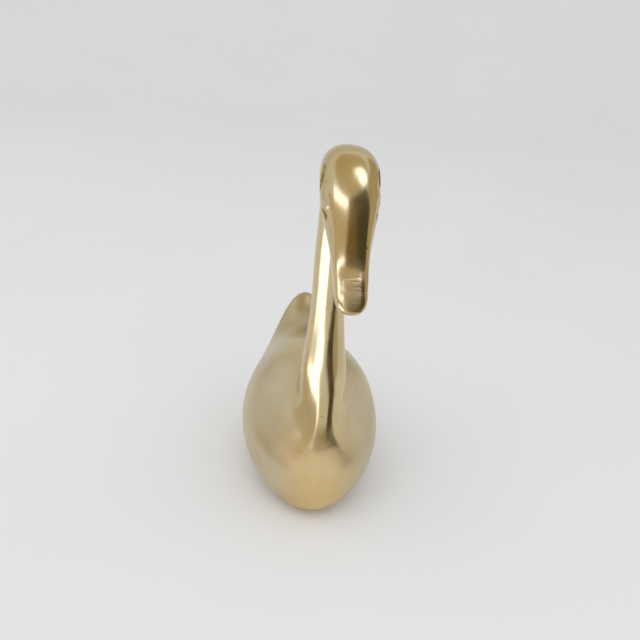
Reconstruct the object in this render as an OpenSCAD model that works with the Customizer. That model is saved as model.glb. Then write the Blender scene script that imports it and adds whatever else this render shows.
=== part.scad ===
// Brass swan ornament: a hollow cast body that is open below, and a solid neck and head bolted to its breast.
// The swan faces -Y and stands on Z = 0. Its mirror plane is X = 0.
// Y = 0 is the middle of its whole length.

/* [Body] */
// Width of the body at its widest section
body_width = 60; // [56:1:66]
// Breast tip ahead of the widest section
chest_reach = 42; // [40:1:45]
// Tail tip behind the widest section
tail_reach = 53; // [49:1:58]
// Top of the back above the table
back_height = 62; // [58:1:66]
// Breast tip above the table
chest_height = 16; // [14:1:18]
// How full the breast is seen from the side, from a plain oval at 2
side_fullness = 3; // [2.6:0.1:3.4]
// How full the breast is seen from above, from a plain oval at 2
plan_fullness = 2.15; // [2:0.05:2.4]
// How far the shoulders fall away beside the neck, as a share of the half height
shoulder_sag = 1; // [0.8:0.1:1.3]
// Where the shoulders start to fall away, as a share of the way to the breast tip
shoulder_share = 0.3; // [0.25:0.01:0.35]
// Tail tip above the table
tail_height = 62; // [57:1:68]
// How late along the body the tail turns up
tail_lift = 3.6; // [3:0.1:4.4]
// How much the flanks draw in before the tail, as a share of the half width
tail_pinch = 0.38; // [0.25:0.01:0.45]
// How much flatter than the body the tail tip is
tail_flatness = 0.35; // [0.2:0.05:0.5]
// Drop of the widest level below the middle, as a share of the half height
belly_sag = 0.12; // [0:0.02:0.2]
// Depth of belly that is ground away for the flat base
keel_trim = 3; // [2:0.5:4]

/* [Shell] */
// Wall of the casting at the breast, the back and the sides
wall = 3; // [2.5:0.25:4]
// Floor above the table
floor_thickness = 4.5; // [4:0.25:6]
// Drop of the hollow's widest level below its middle, as a share of its half height
hollow_sag = 0.2; // [0.16:0.02:0.24]
// How far the hollow falls away under the shoulders, as a share of its half height
hollow_shoulder_sag = 1.3; // [1.2:0.1:1.5]
// Solid metal left at the end of the tail
tail_solid = 12; // [9:1:16]
// Width of the opening under the belly
opening_width = 16; // [14:0.5:19]
// Length of the opening
opening_length = 27; // [24:0.5:29]
// Middle of the opening ahead of the widest section
opening_reach = 5.5; // [4.5:0.25:6.5]

/* [Neck] */
// Foot of the neck ahead of the widest section
neck_foot_reach = 29; // [27:0.5:31]
// Lean of the flat landing under the neck, in degrees
landing_tilt = 38; // [36:1:40]
// Depth of the landing under the top of the breast
landing_depth = 8; // [7:0.25:9]
// Height over which the flare of the foot becomes the neck
flare_rise = 9.7; // [8.5:0.1:11]
// Width of the neck at the top of the flare
flare_width = 18.4; // [17:0.2:20]
// Width of the neck at its slimmest
neck_width = 13.4; // [12:0.2:15]
// Height of the neck from the flare to the head
neck_length = 59; // [50:1:70]

/* [Head] */
// Width of the head across the cheeks
head_width = 19.8; // [18:0.2:22]
// Height of the head at the crown
head_depth = 18.8; // [17:0.2:21]
// Width of the bill
bill_width = 11.4; // [10:0.2:13]
// Thickness of the bill at the middle of its length
bill_thickness = 6; // [5:0.25:7]
// Length of the rounded end of the bill
bill_round = 6.5; // [5:0.25:8]
// How square the section of the bill is, from a plain oval at 2
bill_squareness = 3.6; // [2:0.1:4]

/* [Neck joint] */
// Diameter of the tenon under the neck
tenon_diameter = 14; // [12:0.5:16]
// Length of the tenon
tenon_length = 5; // [4:0.5:6]
// Diameter of the boss inside the breast
boss_diameter = 40; // [39:1:42]
// Thickness of the boss under the landing
boss_thickness = 9; // [8:0.5:11]
// Diameter of the stud
stud_diameter = 5; // [4:0.5:6]
// Length of the stud inside the neck
stud_grip = 9; // [7:0.5:10]
// Diameter of the washer
washer_diameter = 15; // [13:0.5:17]
// Thickness of the washer
washer_thickness = 1.5; // [1:0.25:2]
// Width of the nut across its flats
nut_width = 8; // [7:0.5:10]
// Thickness of the nut
nut_thickness = 4; // [3:0.5:5]
// Stud that stands out past the nut
stud_end = 2; // [1:0.5:4]

/* [Fits] */
// Gap round what slides into a bore
fit_gap = 0.1; // [0.05:0.05:0.2]

/* [Hidden] */

brass = [0.79, 0.65, 0.38];
steel = [0.62, 0.63, 0.64];
$fn = 48;
// Longer than the whole swan
far = 200;

// Facets: sides of a section, and sections along each half of the body, a span of the neck and the flare
body_sides = 56;
body_steps = 16;
cavity_sides = 28;
cavity_steps = 8;
neck_sides = 36;
span_steps = 5;
flare_steps = 7;
round_steps = 6;

// A body form is [half width, chest reach, tail reach, back, chest, tail, lowest point, sag, shoulder sag]
outer_form = [
    body_width / 2, chest_reach, tail_reach, back_height,
    chest_height, tail_height, -keel_trim, belly_sag, shoulder_sag
];
cavity_form = [
    body_width / 2 - wall, chest_reach - wall, tail_reach - tail_solid, back_height - wall,
    chest_height, tail_height - tail_solid, floor_thickness, hollow_sag, hollow_shoulder_sag
];

// Share of the full section that is left at a place along the body, with a power for how full the breast is
function ahead(f, y) = y < 0 ? min(1, -y / f[1]) : 0;
function tail_share(f, y) =
    let (v = pow(y / f[2], 2))
        sqrt(max(0, 1 - v)) - tail_pinch * v * (1 - v);
function fullness(f, y, power) = y < 0 ? pow(1 - pow(ahead(f, y), power), 1 / power) : tail_share(f, y);
function level(f) = (f[3] + f[6]) / 2;
function mid_height(f, y) =
    y < 0 ? f[4] + (level(f) - f[4]) * fullness(f, y, side_fullness)
    : level(f) + (f[5] - level(f)) * pow(y / f[2], tail_lift);
function half_height(f, y) =
    (f[3] - f[6]) / 2 * fullness(f, y, side_fullness) * (y < 0 ? 1 : 1 - tail_flatness * pow(y / f[2], 2));
function half_width(f, y) = f[0] * fullness(f, y, plan_fullness);
// How far the shoulders fall away at a place along the body
function shoulder(f, y) = f[8] * (1 - exp(-pow(ahead(f, y) / shoulder_share, 2)));

// Section of the body, and how far a point is outside it
function body_section(f, y, sides) = [
    for (i = [0 : sides - 1])
        let (
            a = -360 * i / sides,
            fall = f[7] + shoulder(f, y) * pow(max(0, sin(a)), 2),
            rise = sin(a) - fall * pow(cos(a), 2)
        )
            [half_width(f, y) * cos(a), y, mid_height(f, y) + half_height(f, y) * rise]
];
function outside(f, p) =
    let (
        u = pow(p[0] / half_width(f, p[1]), 2),
        fall = f[7] + shoulder(f, p[1]) * max(0, 1 - u)
    )
        u + pow((p[2] - mid_height(f, p[1])) / half_height(f, p[1]) + u * fall, 2) - 1;

function body_places(f, steps) = concat(
    [for (i = [1 : steps]) -f[1] * cos(90 * i / steps)],
    [for (i = [1 : steps - 1]) f[2] * sin(90 * i / steps)]
);

// Solid through a list of sections, closed by a fan at each end
function skin_faces(count, sides) = concat(
    [for (r = [0 : count - 2], i = [0 : sides - 1])
        [r * sides + i, (r + 1) * sides + i, r * sides + (i + 1) % sides]],
    [for (r = [0 : count - 2], i = [0 : sides - 1])
        [r * sides + (i + 1) % sides, (r + 1) * sides + i, (r + 1) * sides + (i + 1) % sides]],
    [for (i = [0 : sides - 1]) [count * sides, i, (i + 1) % sides]],
    [for (i = [0 : sides - 1])
        [count * sides + 1, (count - 1) * sides + (i + 1) % sides, (count - 1) * sides + i]]
);
module loft(sections, first, last) {
    sides = len(sections[0]);
    points = concat([for (s = sections) each s], [first, last]);
    polyhedron(points, skin_faces(len(sections), sides));
}
module body_solid(f, sides, steps) {
    sections = [for (y = body_places(f, steps)) body_section(f, y, sides)];
    loft(sections, [0, -f[1], f[4]], [0, f[2], f[5]]);
}

// Landing under the neck: its middle, and its two directions in the mirror plane
breast_top = mid_height(outer_form, -neck_foot_reach) + half_height(outer_form, -neck_foot_reach);
landing_normal = [0, -sin(landing_tilt), cos(landing_tilt)];
landing_back = [0, cos(landing_tilt), sin(landing_tilt)];
landing = [0, -neck_foot_reach, breast_top] - landing_depth * landing_normal;
module on_landing() {
    translate(landing)
        rotate([landing_tilt, 0, 0])
            children();
}

// Outline of the body on a plane above the landing
function edge_radius(middle, way, low, high, steps) =
    let (r = (low + high) / 2)
        steps == 0 ? r
        : outside(outer_form, middle + r * way) < 0 ? edge_radius(middle, way, r, high, steps - 1)
        : edge_radius(middle, way, low, r, steps - 1);
function landing_edge(rise) =
    let (middle = landing + rise * landing_normal)
        [for (i = [0 : neck_sides - 1])
            let (a = 360 * i / neck_sides, way = [cos(a), 0, 0] + sin(a) * landing_back)
                middle + edge_radius(middle, way, 0, body_width / 2, 24) * way];

// A neck or head station is [y, z, half width, half depth, lean in degrees, squareness].
// The neck sways back as it rises from its foot, and the head's places start from the top of the neck.
flare_height = breast_top + flare_rise;
neck_height = flare_height + neck_length;
neck_half = neck_width / 2;
sway = [5.7, 9.3, 12.7, 13.4];
neck_stations = [
    [sway[0], flare_height, flare_width / 2, flare_width / 2 + 0.2, -10, 2],
    [sway[1], flare_height + 0.3 * neck_length, neck_half + 0.2, neck_half + 0.3, -11, 2],
    [sway[2], flare_height + 0.64 * neck_length, neck_half, neck_half + 0.2, -7, 2],
    [sway[3], neck_height, neck_half, neck_half + 0.3, 6, 2]
];
head_half = head_width / 2;
head_rise = head_depth / 2;
bill_half = bill_width / 2;
bill_root = (head_half + 1.4 * bill_half) * 0.38;
head_stations = [
    [-3.7, 14.7, head_half * 0.78, head_rise * 0.92, 49, 2],
    [-13.7, 19.5, head_half * 0.99, head_rise, 88, 2.4],
    [-24.9, 11.6, head_half * 0.97, head_rise * 0.85, 112, 2.5],
    [-33.7, 0.2, bill_root, bill_thickness * 0.78, 125, 3],
    [-42.4, -8.6, bill_half, bill_thickness / 2, 124, bill_squareness],
    [-46.2, -10.7, bill_half * 0.9, bill_thickness * 0.42, 125, bill_squareness]
];
foot_place = [-neck_foot_reach, 0, 0, 0, 0, 0];
head_place = foot_place + [sway[3], neck_height, 0, 0, 0, 0];
stations = concat([for (s = neck_stations) s + foot_place], [for (s = head_stations) s + head_place]);
bill_end = stations[len(stations) - 1];
bill_way = [0, -sin(bill_end[4]), cos(bill_end[4])];

// Smooth run through a list of stations
function run_point(a, b, c, d, t) =
    0.5 * (2 * b + (c - a) * t + (2 * a - 5 * b + 4 * c - d) * t * t + (3 * b - a - 3 * c + d) * t * t * t);
function run(s, steps) = [
    for (i = [0 : len(s) - 2], k = [0 : steps - 1])
        let (a = i == 0 ? 2 * s[0] - s[1] : s[i - 1], d = i == len(s) - 2 ? 2 * s[i + 1] - s[i] : s[i + 2])
            run_point(a, s[i], s[i + 1], d, k / steps)
];
function signed_power(v, e) = sign(v) * pow(abs(v), e);
function station_section(s) = [
    for (i = [0 : neck_sides - 1])
        let (
            a = 360 * i / neck_sides,
            across = s[2] * signed_power(cos(a), 2 / s[5]),
            deep = s[3] * signed_power(sin(a), 2 / s[5])
        )
            [across, s[0] + deep * cos(s[4]), s[1] + deep * sin(s[4])]
];
function bill_round_station(k) =
    let (a = 90 * k / round_steps, way = bill_round * sin(a))
        [
            bill_end[0] + way * bill_way[1], bill_end[1] + way * bill_way[2], bill_end[2] * cos(a),
            bill_end[3] * sqrt(cos(a)), bill_end[4], bill_end[5]
        ];

// Flare from the landing's outline to the foot of the neck, level with the body below and with the neck above
foot_section = station_section(stations[0]);
above_foot = station_section(run(stations, 10)[1]);
edge_section = landing_edge(0);
edge_rise = landing_edge(0.5);
function flare_point(i, t) =
    let (
        start = edge_section[i],
        end = foot_section[i],
        size = norm(end - start),
        leave = size * (edge_rise[i] - start) / norm(edge_rise[i] - start),
        arrive = size * (above_foot[i] - end) / norm(above_foot[i] - end)
    )
        (2 * t * t * t - 3 * t * t + 1) * start + (t * t * t - 2 * t * t + t) * leave
            + (3 * t * t - 2 * t * t * t) * end + (t * t * t - t * t) * arrive;
flare_sections = [
    for (k = [0 : flare_steps - 1]) [for (i = [0 : neck_sides - 1]) flare_point(i, k / flare_steps)]
];
neck_sections = concat(
    flare_sections,
    [for (s = run(stations, span_steps)) station_section(s)],
    [for (k = [0 : round_steps - 1]) station_section(bill_round_station(k))]
);
bill_tip = [0, bill_end[0], bill_end[1]] + bill_round * bill_way;

// Middle of the whole length, from the foremost point of the bill to the tail
bill_front = min(bill_tip[1], min([for (section = neck_sections, p = section) p[1]]));
middle = (bill_front + tail_reach) / 2;
module in_frame() {
    translate([0, -middle, 0])
        children();
}

module slot(width, length, height) {
    straight = length - width;
    linear_extrude(height)
        union() {
            square([width, straight], center = true);
            for (side = [-1, 1])
                translate([0, side * straight / 2])
                    circle(d = width);
        }
}
module body_casting() {
    color(brass)
        in_frame()
            difference() {
                body_solid(outer_form, body_sides, body_steps);
                difference() {
                    body_solid(cavity_form, cavity_sides, cavity_steps);
                    on_landing()
                        translate([0, 0, -boss_thickness])
                            cylinder(h = boss_thickness + wall, d = boss_diameter);
                }
                translate([-far / 2, -far / 2, -far])
                    cube([far, far, far]);
                on_landing()
                    translate([-far / 2, -far / 2, 0])
                        cube([far, far, far]);
                on_landing()
                    translate([0, 0, -tenon_length - fit_gap])
                        cylinder(h = far / 4, d = tenon_diameter + 2 * fit_gap);
                on_landing()
                    translate([0, 0, -boss_thickness - wall])
                        cylinder(h = far / 4, d = stud_diameter + 2 * fit_gap);
                translate([0, -opening_reach, -floor_thickness])
                    slot(opening_width, opening_length, 3 * floor_thickness);
            }
}
module neck_and_head() {
    color(brass)
        in_frame()
            difference() {
                union() {
                    loft(neck_sections, landing, bill_tip);
                    on_landing()
                        translate([0, 0, -tenon_length])
                            cylinder(h = 2 * tenon_length, d = tenon_diameter);
                }
                on_landing()
                    translate([0, 0, -2 * tenon_length])
                        cylinder(h = 2 * tenon_length + stud_grip, d = stud_diameter + 2 * fit_gap);
            }
}
module neck_stud() {
    color(steel)
        in_frame()
            on_landing()
                translate([0, 0, -boss_thickness - washer_thickness - nut_thickness - stud_end])
                    cylinder(
                        h = boss_thickness + washer_thickness + nut_thickness + stud_end + stud_grip - fit_gap,
                        d = stud_diameter
                    );
}
module neck_washer() {
    color(steel)
        in_frame()
            on_landing()
                translate([0, 0, -boss_thickness - washer_thickness])
                    difference() {
                        cylinder(h = washer_thickness, d = washer_diameter);
                        translate([0, 0, -1])
                            cylinder(h = washer_thickness + 2, d = stud_diameter + 4 * fit_gap);
                    }
}
module neck_nut() {
    color(steel)
        in_frame()
            on_landing()
                translate([0, 0, -boss_thickness - washer_thickness - nut_thickness])
                    difference() {
                        cylinder(h = nut_thickness, d = nut_width / cos(30), $fn = 6);
                        translate([0, 0, -1])
                            cylinder(h = nut_thickness + 2, d = stud_diameter + 2 * fit_gap);
                    }
}

body_casting();
neck_and_head();
neck_stud();
neck_washer();
neck_nut();
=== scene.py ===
"""Brass swan ornament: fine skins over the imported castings, a pale floor and soft light."""

import math
from dataclasses import dataclass

import bmesh
import bpy
import numpy as np
from mathutils import Matrix, Vector, noise


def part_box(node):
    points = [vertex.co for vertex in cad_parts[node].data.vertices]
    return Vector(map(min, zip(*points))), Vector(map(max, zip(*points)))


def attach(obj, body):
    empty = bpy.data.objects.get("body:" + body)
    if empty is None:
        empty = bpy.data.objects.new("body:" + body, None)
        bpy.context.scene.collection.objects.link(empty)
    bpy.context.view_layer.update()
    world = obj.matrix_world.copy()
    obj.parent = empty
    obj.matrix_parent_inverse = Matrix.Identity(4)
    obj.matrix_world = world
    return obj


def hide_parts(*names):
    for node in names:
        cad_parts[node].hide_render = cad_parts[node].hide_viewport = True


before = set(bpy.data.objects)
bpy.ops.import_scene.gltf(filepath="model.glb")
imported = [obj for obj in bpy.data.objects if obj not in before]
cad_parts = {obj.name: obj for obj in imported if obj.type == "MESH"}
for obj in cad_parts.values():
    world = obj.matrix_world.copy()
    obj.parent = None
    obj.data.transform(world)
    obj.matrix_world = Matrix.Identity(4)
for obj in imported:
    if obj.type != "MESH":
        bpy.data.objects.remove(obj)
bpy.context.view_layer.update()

# Sizes of the castings, in millimetres. The frame gives the body's width and reach. The rest are
# those of the CAD part, apart from the end of the bill.
MM = 0.001
body_low, body_high = (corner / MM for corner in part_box("body_casting"))
BODY_WIDTH = body_high.x - body_low.x
TAIL_REACH = 53
CHEST_REACH = body_high.y - body_low.y - TAIL_REACH
WIDEST_Y = body_high.y - TAIL_REACH
BACK_HEIGHT = 62
CHEST_HEIGHT = 16
SIDE_FULLNESS = 3
PLAN_FULLNESS = 2.15
SHOULDER_SAG = 1
SHOULDER_SHARE = 0.3
TAIL_HEIGHT = 62
TAIL_LIFT = 3.6
TAIL_PINCH = 0.38
TAIL_FLATNESS = 0.35
BELLY_SAG = 0.12
KEEL_TRIM = 3
WALL = 3
FLOOR_THICKNESS = 4.5
HOLLOW_SAG = 0.2
HOLLOW_SHOULDER_SAG = 1.3
TAIL_SOLID = 12
OPENING_WIDTH = 16
OPENING_LENGTH = 27
OPENING_REACH = 5.5
NECK_FOOT_REACH = 29
LANDING_TILT = math.radians(38)
LANDING_DEPTH = 8
FLARE_RISE = 9.7
FLARE_WIDTH = 18.4
NECK_WIDTH = 13.4
NECK_LENGTH = 59
HEAD_WIDTH = 19.8
HEAD_DEPTH = 18.8
BILL_WIDTH = 11.4
BILL_THICKNESS = 6
BILL_ROUND = 7
BILL_SQUARENESS = 3.6
BILL_BLUNTNESS = 2.5
BILL_TAPER = 0.34
TENON_DIAMETER = 14
TENON_LENGTH = 5
BOSS_DIAMETER = 40
BOSS_THICKNESS = 9
STUD_DIAMETER = 5
STUD_GRIP = 9
FIT_GAP = 0.1
SOCKET_DIAMETER = TENON_DIAMETER + 2 * FIT_GAP
STUD_BORE = STUD_DIAMETER + 2 * FIT_GAP
FAR = 200

# The eyes: an almond recess of even depth with a ball in it. The turns aim it out from the head.
EYE_REACH = 21.3
EYE_RISE = 13.1
EYE_TURN = math.radians(-19)
EYE_LIFT = math.radians(14.5)
EYE_SPIN = math.radians(-35)
EYE_LENGTH = 20
EYE_WIDTH = 6.6
EYE_DEPTH = 0.7
EYE_TOOL_ABOVE = 4
EYE_CORE_START = 6
EYEBALL_SIZE = (16, 10.6, 8)
EYEBALL_STAND = -0.05
EYEBALL_MESH = (64, 40)

# Fineness of the skins
BODY_SIDES = 176
BODY_STEPS = 72
CAVITY_SIDES = 72
CAVITY_STEPS = 24
NECK_SIDES = 128
NECK_STEP = 0.7
FLARE_STEPS = 34
ROUND_STEPS = 14
EDGE_STEP = 0.5
EDGE_TRIES = 40
BLEND_PASSES = 60
BLEND_SHARE = 0.5
ROUND_TOOL = 96
ALMOND_STEPS = 40
JOIN_GAP = 0.01
EDGE_ANGLE = math.radians(35)

# Hand finish: how far polishing leaves the skin from true, and over what length
WAVE_HEIGHT = 0.05
WAVE_LENGTH = 15
WAVE_CLEAR = 6
BODY_SEED = 11
NECK_SEED = 23
PARTING_HEIGHT = 0.05
PARTING_WIDTH = 0.45
PARTING_FROM = 75
PARTING_TO = 86
PARTING_FACING = 0.5
PARTING_WAVE = 4
PARTING_BIAS = 0.2


@dataclass
class Form:
    """An egg with an upturned tail: the body's outside or its hollow."""

    half_width: float
    chest_reach: float
    tail_reach: float
    back: float
    chest: float
    tail: float
    low: float
    sag: float
    shoulder: float

    @property
    def level(self):
        return (self.back + self.low) / 2

    def ahead(self, y):
        """How far towards the breast a place is, from 0 at the widest section to 1."""
        return np.clip(-np.asarray(y, float) / self.chest_reach, 0, 1)

    def fullness(self, y, power):
        """Share of the full section that is left at a place along the body."""
        front = (1 - self.ahead(y) ** power) ** (1 / power)
        v = np.clip(y / self.tail_reach, 0, 1) ** 2
        return np.where(y < 0, front, np.sqrt(1 - v) - TAIL_PINCH * v * (1 - v))

    def width(self, y):
        return self.half_width * self.fullness(y, PLAN_FULLNESS)

    def shoulder_fall(self, y):
        """How far the shoulders fall away beside the root of the neck."""
        return self.shoulder * (1 - np.exp(-((self.ahead(y) / SHOULDER_SHARE) ** 2)))

    def middle(self, y):
        front = self.chest + (self.level - self.chest) * self.fullness(y, SIDE_FULLNESS)
        lift = np.maximum(y / self.tail_reach, 0) ** TAIL_LIFT
        return np.where(y < 0, front, self.level + (self.tail - self.level) * lift)

    def half_height(self, y):
        flat = np.where(y < 0, 1, 1 - TAIL_FLATNESS * (y / self.tail_reach) ** 2)
        return (self.back - self.low) / 2 * self.fullness(y, SIDE_FULLNESS) * flat

    def outside(self, p):
        """Negative inside the upper half of the form, for points in rows."""
        y = p[:, 1]
        u = (p[:, 0] / self.width(y)) ** 2
        fall = self.sag + self.shoulder_fall(y) * np.maximum(1 - u, 0)
        v = (p[:, 2] - self.middle(y)) / self.half_height(y) + u * fall
        return u + v**2 - 1

    def rings(self, sides, steps):
        angles = np.linspace(0, math.tau, sides, endpoint=False)
        share = np.arange(1, steps + 1) / steps * math.pi / 2
        front, rear = -self.chest_reach * np.cos(share), self.tail_reach * np.sin(share[:-1])
        rings = []
        for y in np.concatenate([front, rear]):
            fall = self.sag + self.shoulder_fall(y) * np.maximum(np.sin(angles), 0) ** 2
            x = self.width(y) * np.cos(angles)
            z = self.middle(y) + self.half_height(y) * (np.sin(angles) - fall * np.cos(angles) ** 2)
            rings.append(np.stack([x, np.full(sides, y), z], 1))
        return rings

    def ends(self):
        breast = np.array([0, -self.chest_reach, self.chest])
        return breast, np.array([0, self.tail_reach, self.tail])


OUTER = Form(
    BODY_WIDTH / 2,
    CHEST_REACH,
    TAIL_REACH,
    BACK_HEIGHT,
    CHEST_HEIGHT,
    TAIL_HEIGHT,
    -KEEL_TRIM,
    BELLY_SAG,
    SHOULDER_SAG,
)
HOLLOW = Form(
    BODY_WIDTH / 2 - WALL,
    CHEST_REACH - WALL,
    TAIL_REACH - TAIL_SOLID,
    BACK_HEIGHT - WALL,
    CHEST_HEIGHT,
    TAIL_HEIGHT - TAIL_SOLID,
    FLOOR_THICKNESS,
    HOLLOW_SAG,
    HOLLOW_SHOULDER_SAG,
)

# Landing under the neck: its middle, and its directions in the mirror plane
BREAST_TOP = float(OUTER.middle(-NECK_FOOT_REACH) + OUTER.half_height(-NECK_FOOT_REACH))
LANDING_NORMAL = np.array([0, -math.sin(LANDING_TILT), math.cos(LANDING_TILT)])
LANDING_BACK = np.array([0, math.cos(LANDING_TILT), math.sin(LANDING_TILT)])
LANDING = np.array([0, -NECK_FOOT_REACH, BREAST_TOP]) - LANDING_DEPTH * LANDING_NORMAL
FLARE_HEIGHT = BREAST_TOP + FLARE_RISE
NECK_HEIGHT = FLARE_HEIGHT + NECK_LENGTH


def stations():
    """Neck and head stations: y, z, half width, half depth, lean in degrees and squareness."""
    neck, head, deep, bill = NECK_WIDTH / 2, HEAD_WIDTH / 2, HEAD_DEPTH / 2, BILL_WIDTH / 2
    sway = [5.7, 9.3, 12.7, 13.4]
    rows = [
        [sway[0], FLARE_HEIGHT, FLARE_WIDTH / 2, FLARE_WIDTH / 2 + 0.2, -10, 2],
        [sway[1], FLARE_HEIGHT + 0.3 * NECK_LENGTH, neck + 0.2, neck + 0.3, -11, 2],
        [sway[2], FLARE_HEIGHT + 0.64 * NECK_LENGTH, neck, neck + 0.2, -7, 2],
        [sway[3], NECK_HEIGHT, neck, neck + 0.3, 6, 2],
    ]
    head_rows = [
        [-3.7, 14.7, head * 0.78, deep * 0.92, 49, 2],
        [-13.7, 19.5, head * 0.99, deep, 88, 2.4],
        [-24.9, 11.6, head * 0.97, deep * 0.85, 112, 2.5],
        [-33.6, 0, (head + 1.4 * bill) * 0.38, BILL_THICKNESS * 0.78, 124, 3],
        [-39.6, -7.3, bill * 1.02, BILL_THICKNESS * 0.54, 123, BILL_SQUARENESS],
        [-41, -8.7, bill, BILL_THICKNESS * 0.51, 125, BILL_SQUARENESS],
        [-44, -11.65, bill * 0.94, BILL_THICKNESS * 0.42, 133, BILL_SQUARENESS],
    ]
    rows += [[y + sway[3], z + NECK_HEIGHT, *rest] for y, z, *rest in head_rows]
    return np.array(rows, float) - [NECK_FOOT_REACH, 0, 0, 0, 0, 0]


def smooth_run(rows, step):
    """Rows along a natural cubic spline through the given rows, about one step apart."""
    gaps = np.linalg.norm(np.diff(rows[:, :2], axis=0), axis=1)
    knots = np.concatenate([[0], np.cumsum(gaps)])
    count = len(knots)
    matrix, right = np.eye(count), np.zeros_like(rows)
    for i in range(1, count - 1):
        matrix[i, i - 1 : i + 2] = gaps[i - 1], 2 * (gaps[i - 1] + gaps[i]), gaps[i]
        right[i] = 6 * ((rows[i + 1] - rows[i]) / gaps[i] - (rows[i] - rows[i - 1]) / gaps[i - 1])
    bend = np.linalg.solve(matrix, right)
    places = np.linspace(0, knots[-1], int(knots[-1] / step) + 1)
    i = np.clip(np.searchsorted(knots, places, "right") - 1, 0, count - 2)
    h = gaps[i][:, None]
    a, b = ((knots[i + 1] - places) / gaps[i])[:, None], ((places - knots[i]) / gaps[i])[:, None]
    curve = ((a**3 - a) * bend[i] + (b**3 - b) * bend[i + 1]) * h**2 / 6
    return a * rows[i] + b * rows[i + 1] + curve


def section(row, sides=NECK_SIDES):
    angles = np.linspace(0, math.tau, sides, endpoint=False)
    lean, power = math.radians(row[4]), 2 / row[5]
    across = row[2] * np.sign(np.cos(angles)) * np.abs(np.cos(angles)) ** power
    deep = row[3] * np.sign(np.sin(angles)) * np.abs(np.sin(angles)) ** power
    return np.stack([across, row[0] + deep * math.cos(lean), row[1] + deep * math.sin(lean)], 1)


def landing_edge(rise):
    """Outline of the body on a plane above the landing."""
    centre = LANDING + rise * LANDING_NORMAL
    angles = np.linspace(0, math.tau, NECK_SIDES, endpoint=False)
    ways = np.cos(angles)[:, None] * [1, 0, 0] + np.sin(angles)[:, None] * LANDING_BACK
    low, high = np.zeros(NECK_SIDES), np.full(NECK_SIDES, BODY_WIDTH / 2)
    for _ in range(EDGE_TRIES):
        reach = (low + high) / 2
        inside = OUTER.outside(centre + reach[:, None] * ways) < 0
        low, high = np.where(inside, reach, low), np.where(inside, high, reach)
    return centre + low[:, None] * ways


def unit(rows):
    return rows / np.linalg.norm(rows, axis=1)[:, None]


def neck_rings():
    """Rings of the neck from the landing's outline to the end of the bill, and the tip."""
    run = smooth_run(stations(), NECK_STEP)
    start, foot, above = landing_edge(0), section(run[0]), section(run[1])
    size = np.linalg.norm(foot - start, axis=1)[:, None]
    leave, arrive = size * unit(landing_edge(EDGE_STEP) - start), size * unit(above - foot)
    rings = []
    for t in np.arange(FLARE_STEPS) / FLARE_STEPS:
        rings.append(
            (2 * t**3 - 3 * t**2 + 1) * start
            + (t**3 - 2 * t**2 + t) * leave
            + (3 * t**2 - 2 * t**3) * foot
            + (t**3 - t**2) * arrive
        )
    rings += [section(row) for row in run[:-1]]
    end = run[-1]
    lean = math.radians(end[4])
    way = np.array([0, -math.sin(lean), math.cos(lean)])
    for a in np.arange(ROUND_STEPS) / ROUND_STEPS * math.pi / 2:
        ahead = BILL_ROUND * math.sin(a) * way
        width = end[2] * (1 - math.sin(a) ** BILL_BLUNTNESS) ** (1 / BILL_BLUNTNESS)
        depth = end[3] * (1 - BILL_TAPER * math.sin(a)) * math.sqrt(math.cos(a))
        rings.append(section([end[0] + ahead[1], end[1] + ahead[2], width, depth, *end[4:]]))
    rings = np.array(rings)
    low, top = FLARE_STEPS // 2, 2 * FLARE_STEPS
    for _ in range(BLEND_PASSES):
        mean = (rings[low - 1 : top - 1] + rings[low + 1 : top + 1]) / 2
        rings[low:top] += BLEND_SHARE * (mean - rings[low:top])
    return rings, np.array([0, end[0], end[1]]) + BILL_ROUND * way


def skin_normals(rings):
    along = np.gradient(rings, axis=0)
    around = np.roll(rings, -1, 1) - np.roll(rings, 1, 1)
    normals = np.cross(around, along)
    normals /= np.maximum(np.linalg.norm(normals, axis=2, keepdims=True), 1e-9)
    outward = rings - rings.mean(1, keepdims=True)
    return normals if (normals * outward).sum() > 0 else -normals


def hand_finish(rings, seed, parting=None):
    """Moves the skin along its normals by the waves of polishing, which die out at the joint."""
    rings = np.array(rings)
    normals = skin_normals(rings)
    clear = np.clip(np.abs((rings - LANDING) @ LANDING_NORMAL) / WAVE_CLEAR, 0, 1)
    for r, ring in enumerate(rings):
        for s, p in enumerate(ring):
            wave = noise.noise(Vector(p / WAVE_LENGTH) + Vector((seed, 0, 0)))
            shift = clear[r, s] * WAVE_HEIGHT * wave
            if parting is not None:
                shift += parting(p, normals[r, s])
            rings[r, s] = p + shift * normals[r, s]
    return rings


def neck_parting(p, normal):
    """A trace of the mould's parting line down the front of the neck."""
    if normal[1] > -PARTING_FACING or not PARTING_FROM < p[2] < PARTING_TO:
        return 0
    trace = max(0, noise.noise(Vector((0, 0, p[2] / PARTING_WAVE))) + PARTING_BIAS)
    return PARTING_HEIGHT * trace * math.exp(-((p[0] / PARTING_WIDTH) ** 2))


def new_object(name, mesh, material=None):
    piece = bpy.data.objects.new(name, mesh)
    bpy.context.scene.collection.objects.link(piece)
    if material:
        mesh.materials.append(material)
    return piece


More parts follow.
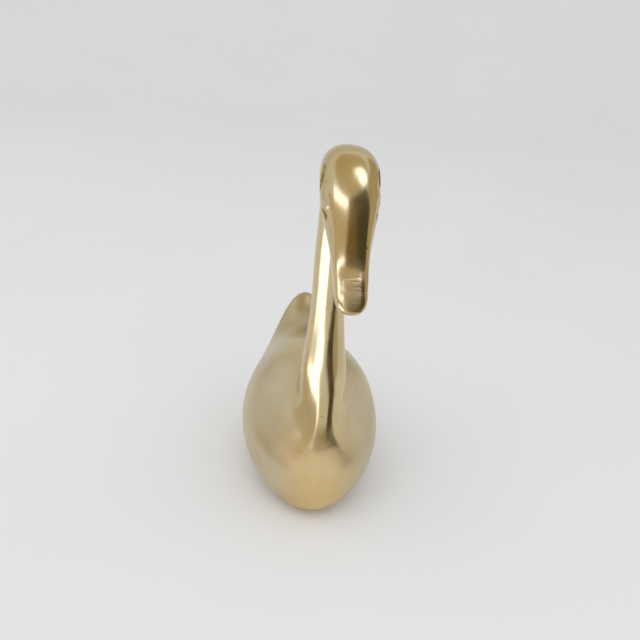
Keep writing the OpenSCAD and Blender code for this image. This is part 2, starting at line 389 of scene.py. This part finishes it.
def loft(name, rings, first, last, material=None):
    """A closed solid through rings, in the row frame, with a fan at each end."""
    rings = np.array(rings)
    count, sides = rings.shape[:2]
    points = np.vstack([rings.reshape(-1, 3), first, last]) + [0, WIDEST_Y, 0]
    faces = []
    for r in range(count - 1):
        for s in range(sides):
            a, b = r * sides + s, r * sides + (s + 1) % sides
            faces.append((a, b, b + sides, a + sides))
    head, tail = count * sides, count * sides + 1
    faces += [(head, (s + 1) % sides, s) for s in range(sides)]
    start = (count - 1) * sides
    faces += [(tail, start + s, start + (s + 1) % sides) for s in range(sides)]
    mesh = bpy.data.meshes.new(name)
    mesh.from_pydata((points * MM).tolist(), [], faces)
    shape = bmesh.new()
    shape.from_mesh(mesh)
    bmesh.ops.recalc_face_normals(shape, faces=shape.faces)
    shape.to_mesh(mesh)
    shape.free()
    return new_object(name, mesh, material)


def prism(name, outline, low, high, place, material=None):
    """A solid with a flat outline, in millimetres, between two heights of a placed frame."""
    count = len(outline)
    points = [(x, y, h) for h in (low, high) for x, y in outline]
    faces = [tuple(reversed(range(count))), tuple(range(count, 2 * count))]
    faces += [(i, (i + 1) % count, count + (i + 1) % count, count + i) for i in range(count)]
    mesh = bpy.data.meshes.new(name)
    mesh.from_pydata(points, [], faces)
    mesh.transform(Matrix.Scale(MM, 4) @ place)
    return new_object(name, mesh, material)


def circle(diameter, sides=ROUND_TOOL):
    angles = np.arange(sides) / sides * math.tau
    return [(diameter / 2 * math.cos(a), diameter / 2 * math.sin(a)) for a in angles]


def slot(width, length):
    half, straight = width / 2, (length - width) / 2
    ends = np.arange(ROUND_TOOL // 2 + 1) / (ROUND_TOOL // 2) * math.pi
    points = [(half * math.cos(a), straight + half * math.sin(a)) for a in ends]
    return points + [(-x, -y) for x, y in points]


def almond(length, width):
    """Two arcs that meet in a point at each end."""
    radius = (length**2 + width**2) / (4 * width)
    half = math.asin(length / 2 / radius)
    turns = np.linspace(half, -half, ALMOND_STEPS)
    arc = [(radius * math.sin(a), radius * math.cos(a) - radius + width / 2) for a in turns]
    return arc + [(-x, -y) for x, y in arc[1:-1]]


def square(size):
    half = size / 2
    return [(-half, -half), (half, -half), (half, half), (-half, half)]


LANDING_MIDDLE = Matrix.Translation((0, LANDING[1] + WIDEST_Y, LANDING[2]))
LANDING_PLACE = LANDING_MIDDLE @ Matrix.Rotation(LANDING_TILT, 4, "X")


def combine(target, tool, operation="DIFFERENCE"):
    """Applies a boolean with the tool to the target, and removes the tool."""
    step = target.modifiers.new("combine", "BOOLEAN")
    step.operation = operation
    step.solver = "EXACT"
    step.material_mode = "TRANSFER"
    step.object = tool
    depsgraph = bpy.context.evaluated_depsgraph_get()
    depsgraph.update()
    mesh = bpy.data.meshes.new_from_object(target.evaluated_get(depsgraph))
    target.modifiers.clear()
    target.data = mesh
    bpy.data.objects.remove(tool)


def finish_skin(piece, name):
    """Joins what the cuts left closer than a hair, and shades smooth up to real edges."""
    shape = bmesh.new()
    shape.from_mesh(piece.data)
    bmesh.ops.remove_doubles(shape, verts=shape.verts, dist=JOIN_GAP * MM)
    shape.to_mesh(piece.data)
    shape.free()
    piece.data.shade_smooth()
    piece.data.set_sharp_from_angle(angle=EDGE_ANGLE)
    piece.data.name = name


class Nodes:
    """Short calls to build a node tree."""

    def __init__(self, tree):
        self.tree = tree
        tree.nodes.clear()

    def add(self, kind, settings=None, **inputs):
        made = self.tree.nodes.new(kind)
        for key, value in (settings or {}).items():
            setattr(made, key, value)
        for key, value in inputs.items():
            self.set(made, key.replace("_", " "), value)
        return made

    def set(self, made, key, value):
        socket = next(s for s in made.inputs if s.name == key and s.enabled)
        if isinstance(value, bpy.types.NodeSocket):
            self.tree.links.new(value, socket)
        else:
            socket.default_value = value

    def ramp(self, value, stops):
        made = self.add("ShaderNodeValToRGB", Fac=value)
        band = made.color_ramp
        while len(band.elements) < len(stops):
            band.elements.new(0.5)
        for element, (place, colour) in zip(band.elements, stops):
            element.position = place
            element.color = (*colour, 1)
        return made.outputs["Color"]

    def spread(self, value, low, high, to_low, to_high):
        made = self.add("ShaderNodeMapRange", Value=value)
        limits = {"From Min": low, "From Max": high, "To Min": to_low, "To Max": to_high}
        for key, number in limits.items():
            made.inputs[key].default_value = number
        return made.outputs["Result"]

    def math(self, operation, *values):
        made = self.add("ShaderNodeMath", {"operation": operation})
        for socket, value in zip(made.inputs, values):
            if isinstance(value, bpy.types.NodeSocket):
                self.tree.links.new(value, socket)
            else:
                socket.default_value = value
        return made.outputs[0]

    def times(self, first, second):
        return self.math("MULTIPLY", first, second)

    def mix(self, share, first, second):
        made = self.add("ShaderNodeMix", {"data_type": "RGBA"}, Factor=share)
        self.set(made, "A", first)
        self.set(made, "B", second)
        return next(s for s in made.outputs if s.enabled)

    def noise(self, place, scale, detail=2.0):
        made = self.add("ShaderNodeTexNoise", Vector=place, Scale=scale, Detail=detail)
        return made.outputs["Fac"]

    def stretch(self, place, turn, scale):
        made = self.add("ShaderNodeMapping", Vector=place, Rotation=turn, Scale=scale)
        return made.outputs[0]


def new_material(name):
    material = bpy.data.materials.new(name)
    material.use_nodes = True
    return material, Nodes(material.node_tree)


def end_material(material, nodes, shader):
    nodes.add("ShaderNodeOutputMaterial", Surface=shader.outputs[0])
    return material


def brass(name):
    """Brass with cloudy tones, painted reflections that warm the breast, grey the flanks and darken
    the tail, a polish that fades to the belly and tail, scratches and pits.
    """
    material, nodes = new_material(name)
    place = nodes.add("ShaderNodeTexCoord").outputs["Object"]
    x, y, z = nodes.add("ShaderNodeSeparateXYZ", Vector=place).outputs
    aside = nodes.math("ABSOLUTE", x)
    cloud = nodes.noise(place, *CLOUD)
    middle, breast, flank_reflection, tail = (
        nodes.ramp(cloud, list(zip(CLOUD_STOPS, tones)))
        for tones in (MIDDLE_TONES, BREAST_REFLECTION_TONES, FLANK_REFLECTION_TONES, TAIL_DARK_REFLECTION_TONES)
    )
    # Below the breast line the colour is painted a warmer gold: a painted reflection of the pale
    # floor.
    colour = nodes.mix(nodes.spread(z, *WARM_REFLECTION_BELOW, 1, 0), middle, breast)
    # Beside the middle the colour is painted a greyer tone: a painted reflection of the walls.
    colour = nodes.mix(nodes.spread(aside, *PAINTED_REFLECTION_BESIDE, 0, 1), colour, flank_reflection)
    # Towards the tail the colour is painted darker and more olive: a painted dark reflection.
    colour = nodes.mix(nodes.spread(y, *DARK_REFLECTION_BEHIND, 0, 1), colour, tail)
    pit = None
    for centre, radius in PITS:
        gap = nodes.add("ShaderNodeVectorMath", {"operation": "DISTANCE"})
        nodes.tree.links.new(place, gap.inputs[0])
        gap.inputs[1].default_value = centre
        spot = nodes.spread(gap.outputs["Value"], 0.5 * radius, radius, 1, 0)
        pit = spot if pit is None else nodes.math("MAXIMUM", pit, spot)
    colour = nodes.mix(pit, colour, (*PIT_COLOUR, 1))

    low = nodes.spread(z, *DULL_BELOW, 1, 0)
    foot = nodes.spread(z, *NECK_FOOT, 1, 0)
    beside = nodes.times(nodes.spread(aside, *DULL_BESIDE, 0, 1), foot)
    behind = nodes.spread(y, *DULL_BEHIND, 0, 1)
    dull = nodes.math("MAXIMUM", nodes.math("MAXIMUM", low, beside), behind)
    rub = nodes.spread(nodes.noise(place, *RUB), *RUB_RANGE, *RUB_GLOSS)
    gloss = nodes.math("ADD", nodes.spread(dull, 0, 1, *GLOSS), rub)
    ahead = nodes.spread(y, *FILED_AHEAD, 1, 0)
    filed = nodes.times(ahead, nodes.spread(aside, *FILED_BESIDE, 1, 0))
    gloss = nodes.math("ADD", gloss, nodes.times(filed, FILED_DULL))

    slanting = nodes.stretch(place, *SCRATCH_RUN)
    scratches = nodes.times(nodes.noise(slanting, *SCRATCH), SCRATCH_HEIGHT)
    across = nodes.stretch(place, *FILED_RUN)
    strokes = nodes.times(nodes.times(nodes.noise(across, *FILED), filed), FILED_HEIGHT)
    height = nodes.math("SUBTRACT", nodes.math("ADD", scratches, strokes), pit)
    bump = nodes.add("ShaderNodeBump", Height=height, **SKIN_BUMP).outputs[0]
    shader = nodes.add("ShaderNodeBsdfPrincipled", Metallic=1.0, Roughness=gloss, Normal=bump)
    nodes.set(shader, "Base Color", colour)
    return end_material(material, nodes, shader)


def plain_metal(name, tones, roughness, grain):
    """Metal that is left as cast or turned, with a grain."""
    material, nodes = new_material(name)
    place = nodes.add("ShaderNodeTexCoord").outputs["Object"]
    field = nodes.noise(place, grain, GRAIN_DETAIL)
    colour = nodes.ramp(field, list(zip(GRAIN_STOPS, tones)))
    gloss = nodes.spread(field, *GRAIN_RANGE, *roughness)
    bump = nodes.add("ShaderNodeBump", Height=field, **GRAIN_BUMP).outputs[0]
    shader = nodes.add("ShaderNodeBsdfPrincipled", Metallic=1.0, Roughness=gloss, Normal=bump)
    nodes.set(shader, "Base Color", colour)
    return end_material(material, nodes, shader)


def plain_surface(name, tones, roughness):
    """A matt surface with a faint cloudiness."""
    material, nodes = new_material(name)
    place = nodes.add("ShaderNodeTexCoord").outputs["Object"]
    colour = nodes.ramp(nodes.noise(place, *FLOOR_CLOUD), list(zip(FLOOR_STOPS, tones)))
    shader = nodes.add("ShaderNodeBsdfPrincipled", Roughness=roughness, Specular_IOR_Level=0.0)
    nodes.set(shader, "Base Color", colour)
    return end_material(material, nodes, shader)


# Where the polish and the tones change, in metres, and how rough the polished and dull metal are.
# Patterns are given by scale and detail, and their runs by turn and stretch.
BILL_CREASE = (WIDEST_Y - 58.5) * MM
DULL_BELOW = (0.030, 0.040)
DULL_BESIDE = (0.005, 0.012)
DULL_BEHIND = (0.000, 0.008)
NECK_FOOT = (0.062, 0.075)
# Where the painted reflection tones come in: a warmer gold low on the breast, a greyer tone beside
# the middle and a darker one behind.
WARM_REFLECTION_BELOW = (0.034, 0.046)
PAINTED_REFLECTION_BESIDE = (0.007, 0.018)
DARK_REFLECTION_BEHIND = (0.030, 0.055)
FILED_AHEAD = (BILL_CREASE - 0.0004, BILL_CREASE)
FILED_BESIDE = (0.0026, 0.0034)
FILED_DULL = 0.10
FILED = (2200, 1)
FILED_RUN = ((0, 0.12, 0), (0.10, 1, 1))
FILED_HEIGHT = 3
SCRATCH = (900, 2)
SCRATCH_RUN = ((0.3, 0.5, 0.2), (1, 9, 1))
SCRATCH_HEIGHT = 0.05
GLOSS = (0.17, 0.33)
RUB = (210, 4)
RUB_RANGE = (0.3, 0.75)
RUB_GLOSS = (-0.03, 0.04)
CLOUD = (55, 3)
CLOUD_STOPS = (0.3, 0.55, 0.75)
SKIN_BUMP = {"Strength": 0.12, "Distance": 0.0002}
GRAIN_DETAIL = 5
GRAIN_STOPS = (0.35, 0.65)
GRAIN_RANGE = (0.3, 0.7)
GRAIN_BUMP = {"Strength": 0.4, "Distance": 0.0003}
PIT_COLOUR = (0.09, 0.055, 0.02)
PITS = [
    ((0.0047, -0.0451, 0.1266), 0.0004),
    ((-0.0005, -0.0302, 0.0509), 0.0003),
    ((0.0261, -0.0145, 0.0286), 0.0005),
]
MIDDLE_TONES = [(0.61, 0.49, 0.26), (0.67, 0.545, 0.31), (0.70, 0.585, 0.355)]
# Painted warm reflection of the floor on the lower breast
BREAST_REFLECTION_TONES = [(0.68, 0.505, 0.25), (0.745, 0.565, 0.295), (0.775, 0.605, 0.335)]
# Painted reflection of the walls on the flanks
FLANK_REFLECTION_TONES = [(0.56, 0.475, 0.31), (0.62, 0.53, 0.35), (0.66, 0.565, 0.385)]
# Painted dark reflection on the tail
TAIL_DARK_REFLECTION_TONES = [(0.44, 0.37, 0.21), (0.54, 0.455, 0.275), (0.60, 0.51, 0.32)]
RECESS_TONES = [(0.58, 0.48, 0.25), (0.68, 0.58, 0.34)]
INNER_TONES = [(0.24, 0.17, 0.07), (0.38, 0.28, 0.13)]
STEEL_TONES = [(0.42, 0.43, 0.44), (0.56, 0.57, 0.58)]
cast_brass = brass("cast_brass")
recess_brass = plain_metal("recess_brass", RECESS_TONES, (0.25, 0.4), 700)
inner_brass = plain_metal("inner_brass", INNER_TONES, (0.5, 0.75), 500)
turned_steel = plain_metal("turned_steel", STEEL_TONES, (0.25, 0.4), 900)


def cut(piece, name, outline, low, high, place=LANDING_PLACE):
    """Takes a prism out of a casting, and leaves bare brass where it was."""
    combine(piece, prism(name, outline, low, high, place, inner_brass))


def make_body():
    rings = hand_finish(OUTER.rings(BODY_SIDES, BODY_STEPS), BODY_SEED)
    piece = loft("swan_body", rings, *OUTER.ends(), cast_brass)
    hollow = loft("hollow", HOLLOW.rings(CAVITY_SIDES, CAVITY_STEPS), *HOLLOW.ends(), inner_brass)
    boss = prism("boss", circle(BOSS_DIAMETER), -BOSS_THICKNESS, WALL, LANDING_PLACE, inner_brass)
    combine(hollow, boss)
    combine(piece, hollow)
    cut(piece, "table", square(FAR), -FAR, 0, Matrix.Identity(4))
    cut(piece, "landing", square(FAR), 0, FAR)
    cut(piece, "socket", circle(SOCKET_DIAMETER), -TENON_LENGTH - FIT_GAP, FAR / 4)
    cut(piece, "stud_hole", circle(STUD_BORE), -BOSS_THICKNESS - WALL, FAR / 4)
    mouth = Matrix.Translation((0, WIDEST_Y - OPENING_REACH, 0))
    outline = slot(OPENING_WIDTH, OPENING_LENGTH)
    cut(piece, "mouth", outline, -FLOOR_THICKNESS, 2 * FLOOR_THICKNESS, mouth)
    finish_skin(piece, "swan_body")
    return piece


def eye_place(skin, side):
    """Frame of an eye on the skin: Z points out of the head and X along the almond.

    Side 1 is the swan's left.
    """
    neck_top = stations()[3]
    aim = Matrix.Rotation(EYE_TURN, 4, "Z") @ Matrix.Rotation(math.pi / 2 - EYE_LIFT, 4, "Y")
    way = np.array(aim.col[2][:3])
    core = np.array([0, neck_top[0] - EYE_REACH, neck_top[1] + EYE_RISE])
    points = skin.reshape(-1, 3)
    along = (points - core) @ way
    aside = np.linalg.norm(points - core - along[:, None] * way, axis=1)
    middle = core + along[np.argmin(aside + FAR * (along < 0))] * way
    left = Matrix.Translation(middle + [0, WIDEST_Y, 0]) @ aim @ Matrix.Rotation(EYE_SPIN, 4, "Z")
    return left if side > 0 else Matrix.Scale(-1, 4, (1, 0, 0)) @ left


def eye_recess(place):
    """The almond outline, less the head shrunk by the recess's depth."""
    outline = almond(EYE_LENGTH, EYE_WIDTH)
    tool = prism("eye_recess", outline, -3 * EYE_DEPTH, EYE_TOOL_ABOVE, place, recess_brass)
    if place.determinant() < 0:
        tool.data.flip_normals()
    rows = smooth_run(stations(), 2 * NECK_STEP)
    head = (rows[:, 1] > NECK_HEIGHT - EYE_CORE_START) & (rows[:, 2] > BILL_WIDTH / 2)
    rings = [section(row) for row in rows[head] - [0, 0, EYE_DEPTH, EYE_DEPTH, 0, 0]]
    core = loft("eye_core", rings, rings[0].mean(0), rings[-1].mean(0), recess_brass)
    combine(tool, core)
    return tool


def eyeball(place):
    """A long ball that fills the recess up to the skin."""
    ball = bmesh.new()
    around, along = EYEBALL_MESH
    bmesh.ops.create_uvsphere(ball, u_segments=around, v_segments=along, radius=0.5)
    mesh = bpy.data.meshes.new("eyeball")
    ball.to_mesh(mesh)
    ball.free()
    sunk = Matrix.Translation((0, 0, EYEBALL_STAND - EYEBALL_SIZE[2] / 2))
    mesh.transform(Matrix.Scale(MM, 4) @ place @ sunk @ Matrix.Diagonal((*EYEBALL_SIZE, 1)))
    if place.determinant() < 0:
        mesh.flip_normals()
    return new_object("eyeball", mesh, cast_brass)


def make_neck():
    rings, tip = neck_rings()
    rings = hand_finish(rings, NECK_SEED, neck_parting)
    piece = loft("swan_neck", rings, LANDING, tip, cast_brass)
    outline = circle(TENON_DIAMETER)
    tenon = prism("tenon", outline, -TENON_LENGTH, TENON_LENGTH, LANDING_PLACE, inner_brass)
    combine(piece, tenon, "UNION")
    cut(piece, "stud_bore", circle(STUD_BORE), -2 * TENON_LENGTH, STUD_GRIP)
    for side in (1, -1):
        place = eye_place(rings, side)
        combine(piece, eye_recess(place))
        combine(piece, eyeball(place), "UNION")
    finish_skin(piece, "swan_neck")
    return piece


for piece, node in ((make_body(), "body_casting"), (make_neck(), "neck_and_head")):
    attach(piece, "root")
    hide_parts(node)
for name in ("neck_stud", "neck_washer", "neck_nut"):
    steel_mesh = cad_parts[name].data
    steel_mesh.materials.clear()
    steel_mesh.materials.append(turned_steel)

# Camera: where the photograph was taken from, in millimetres and degrees
EYE_POINT = (-38.82, -248.58 + WIDEST_Y, 197.29)
LOOK_AZIMUTH = math.radians(-8.97)
LOOK_DOWN = math.radians(26.04)
LOOK_ROLL = math.radians(6.29)
FOCAL_PIXELS = 660
IMAGE_PIXELS = 640
SENSOR_MM = 36


def add_camera():
    data = bpy.data.cameras.new("camera")
    data.sensor_width = SENSOR_MM
    data.lens = FOCAL_PIXELS / IMAGE_PIXELS * SENSOR_MM
    data.clip_start = 0.01
    camera = bpy.data.objects.new("camera", data)
    bpy.context.scene.collection.objects.link(camera)
    ahead = Vector((
        -math.sin(LOOK_AZIMUTH) * math.cos(LOOK_DOWN),
        math.cos(LOOK_AZIMUTH) * math.cos(LOOK_DOWN),
        -math.sin(LOOK_DOWN),
    ))
    level = ahead.cross(Vector((0, 0, 1))).normalized()
    above = level.cross(ahead)
    right = level * math.cos(LOOK_ROLL) + above * math.sin(LOOK_ROLL)
    up = above * math.cos(LOOK_ROLL) - level * math.sin(LOOK_ROLL)
    turn = Matrix((right, up, -ahead)).transposed().to_4x4()
    camera.matrix_world = Matrix.Translation(Vector(EYE_POINT) * MM) @ turn
    bpy.context.scene.camera = camera


# Stage, in metres
FLOOR_SIZE = 6.0
COVE_START = 0.9
COVE_RADIUS = 0.8
COVE_STEPS = 16
WALL_HEIGHT = 2.5
FLOOR_TONES = [(0.865, 0.86, 0.855), (0.885, 0.88, 0.875)]
FLOOR_STOPS = (0.3, 0.7)
FLOOR_CLOUD = (6, 3)
FLOOR_ROUGHNESS = 0.9
BAND_STEPS = 12
SKY = (0.98, 0.99, 1.0)
SKY_STRENGTH = 0.78


def add_floor():
    """A pale floor that curves up into a wall behind."""
    profile = [(-FLOOR_SIZE / 2, 0.0), (COVE_START, 0.0)]
    for a in np.linspace(0, math.pi / 2, COVE_STEPS + 1)[1:]:
        profile.append((COVE_START + COVE_RADIUS * math.sin(a), COVE_RADIUS * (1 - math.cos(a))))
    profile.append((COVE_START + COVE_RADIUS, WALL_HEIGHT))
    points = [(x, y, z) for y, z in profile for x in (-FLOOR_SIZE / 2, FLOOR_SIZE / 2)]
    faces = [(2 * i, 2 * i + 1, 2 * i + 3, 2 * i + 2) for i in range(len(profile) - 1)]
    mesh = bpy.data.meshes.new("floor")
    mesh.from_pydata(points, [], faces)
    mesh.shade_smooth()
    pale = plain_surface("pale_floor", FLOOR_TONES, FLOOR_ROUGHNESS)
    new_object("floor", mesh, pale)


def direction(azimuth, elevation):
    """Azimuth 0 is in front of the swan, and its left is positive."""
    a, e = math.radians(azimuth), math.radians(elevation)
    return Vector((math.sin(a) * math.cos(e), -math.cos(a) * math.cos(e), math.sin(e)))


def add_lamp(name, azimuth, elevation, distance, size, radiance):
    """A soft lamp with a face of one brightness, which the polished metal doesn't see."""
    data = bpy.data.lights.new(name, "AREA")
    data.shape = "RECTANGLE"
    data.size, data.size_y = size
    data.energy = radiance * math.pi * size[0] * size[1]
    lamp = bpy.data.objects.new(name, data)
    bpy.context.scene.collection.objects.link(lamp)
    way = direction(azimuth, elevation)
    turn = way.to_track_quat("Z", "Y").to_matrix().to_4x4()
    lamp.matrix_world = Matrix.Translation(SWAN_MIDDLE + way * distance) @ turn
    lamp.visible_camera = False
    lamp.visible_glossy = False


def upright(azimuth, distance, outline):
    """Corners of a card that stands before the swan, from places to its left and heights."""
    way, across = direction(azimuth, 0), direction(azimuth + 90, 0)
    return [SWAN_FOOT + way * distance + across * x + Vector((0, 0, z)) for x, z in outline]


def flat_band(first, last, near, far):
    """Corners of a card that lies on the floor, between two azimuths and two distances."""
    ways = [direction(azimuth, 0) for azimuth in np.linspace(first, last, BAND_STEPS)]
    points = [way * near for way in ways] + [way * far for way in reversed(ways)]
    return [SWAN_FOOT + point + Vector((0, 0, MM)) for point in points]


def overhanging(distance, directions):
    """Corners of a card round the head, from azimuths and elevations."""
    return [SWAN_HEAD + direction(*each) * distance for each in directions]


def add_card(name, corners, colour, strength=1.0):
    """A glowing card of one brightness that only the polished metal sees, so it is a painted
    reflection.
    """
    material, nodes = new_material(name)
    glow = nodes.add("ShaderNodeEmission", Color=(*colour, 1), Strength=strength)
    end_material(material, nodes, glow)
    mesh = bpy.data.meshes.new(name)
    mesh.from_pydata(corners, [], [tuple(range(len(corners)))])
    card = new_object(name, mesh, material)
    card.visible_camera = False
    card.visible_diffuse = False
    card.visible_shadow = False


def add_world():
    world = bpy.data.worlds.new("world")
    world.use_nodes = True
    nodes = Nodes(world.node_tree)
    sky = nodes.add("ShaderNodeBackground", Color=(*SKY, 1), Strength=SKY_STRENGTH)
    nodes.add("ShaderNodeOutputWorld", Surface=sky.outputs[0])
    bpy.context.scene.world = world


# Places on the swan that the lamp and the cards are set round
SWAN_MIDDLE = Vector((0, -0.02, 0.1))
SWAN_FOOT = Vector((0, -0.02, 0))
SWAN_HEAD = Vector((0, -0.04, 0.14))

# Outlines of the cards that stand: how far to the swan's left, and how high
WINDOW = [
    (0.075, 0.004), (0.08, 0.046), (0.075, 0.08), (0.10, 0.105), (0.145, 0.12), (0.16, 0.20),
    (0.0, 0.20), (-0.03, 0.10), (-0.09, 0.068), (-0.18, 0.052), (-0.24, 0.03), (-0.29, 0.004),
]
DARK_SIDE = [
    (0.12, 0.0), (0.069, 0.042), (0.025, 0.085), (0.005, 0.12), (0.06, 0.20), (0.087, 0.27),
    (0.03, 0.42), (-0.145, 0.42), (-0.165, 0.125), (-0.10, 0.098), (-0.07, 0.076),
    (-0.007, 0.037), (-0.005, 0.0),
]
LOW_WALL = [
    (-0.08, 0.0), (0.05, 0.0), (0.05, 0.047), (0.004, 0.046), (-0.006, 0.05), (-0.08, 0.057),
]
BROWN_SIDE = [(-0.16, 0.25), (-0.105, 0.25), (-0.105, 0.41), (-0.16, 0.41)]

# Outlines of the cards round the head: azimuth and elevation, in degrees
HIGH_WINDOW = [(8, 43), (2, 47), (-25, 49), (-57, 44.5), (-64, 40), (-60, 33), (-27, 41), (-3, 41)]
FRONT_WALL = [(-90, 12), (-40, 12), (10, 12), (10, 42), (-3, 40), (-27, 40), (-64, 30), (-90, 20)]
ROOF_LIGHT = [(31, 70), (31, 58), (40, 52), (58, 50), (69, 58), (66, 71), (48, 74)]
ROOM = [(46, -12), (66, -12), (82, 0), (130, 4), (130, 50), (95, 50), (62, 50), (55, 40), (46, 20)]

CEILING_SIZE = 1.2
CEILING_SIDES = 48
CEILING_AHEAD = 0.25
CEILING_HEIGHT = 1.08
CEILING = [
    Vector((x, y - CEILING_AHEAD, CEILING_HEIGHT)) for x, y in circle(CEILING_SIZE, CEILING_SIDES)
]
DAYLIGHT = (0.96, 0.98, 1.2)
SHADE = (0.085, 0.068, 0.035)

add_camera()
add_floor()
add_world()
add_lamp("key", -30, 62, 1.0, (0.9, 0.7), 1.1)
# Glowing cards that only the metal sees are painted reflections: bright windows in daylight, and
# darker walls, room, ceiling, floor and patches of painted shade.
add_card("window", upright(-44, 0.24, WINDOW), DAYLIGHT, 2.7)
add_card("high_window", overhanging(0.7, HIGH_WINDOW), DAYLIGHT, 2.7)
add_card("roof_light", overhanging(0.7, ROOF_LIGHT), DAYLIGHT, 2.9)
add_card("dark_side", upright(38, 0.24, DARK_SIDE), SHADE)
add_card("brown_side", upright(38, 0.235, BROWN_SIDE), (0.22, 0.14, 0.06))
add_card("dark_floor", flat_band(34, 64, 0.155, 0.25), SHADE)
add_card("front_floor", flat_band(-65, 34, 0.145, 0.235), (0.30, 0.24, 0.16))
add_card("low_wall", upright(-65, 0.08, LOW_WALL), (0.58, 0.52, 0.43))
add_card("front_wall", overhanging(0.75, FRONT_WALL), (0.62, 0.53, 0.38))
add_card("room", overhanging(0.6, ROOM), (0.50, 0.44, 0.32))
add_card("ceiling", CEILING, (0.58, 0.50, 0.35))
bpy.context.scene.view_settings.view_transform = "Standard"
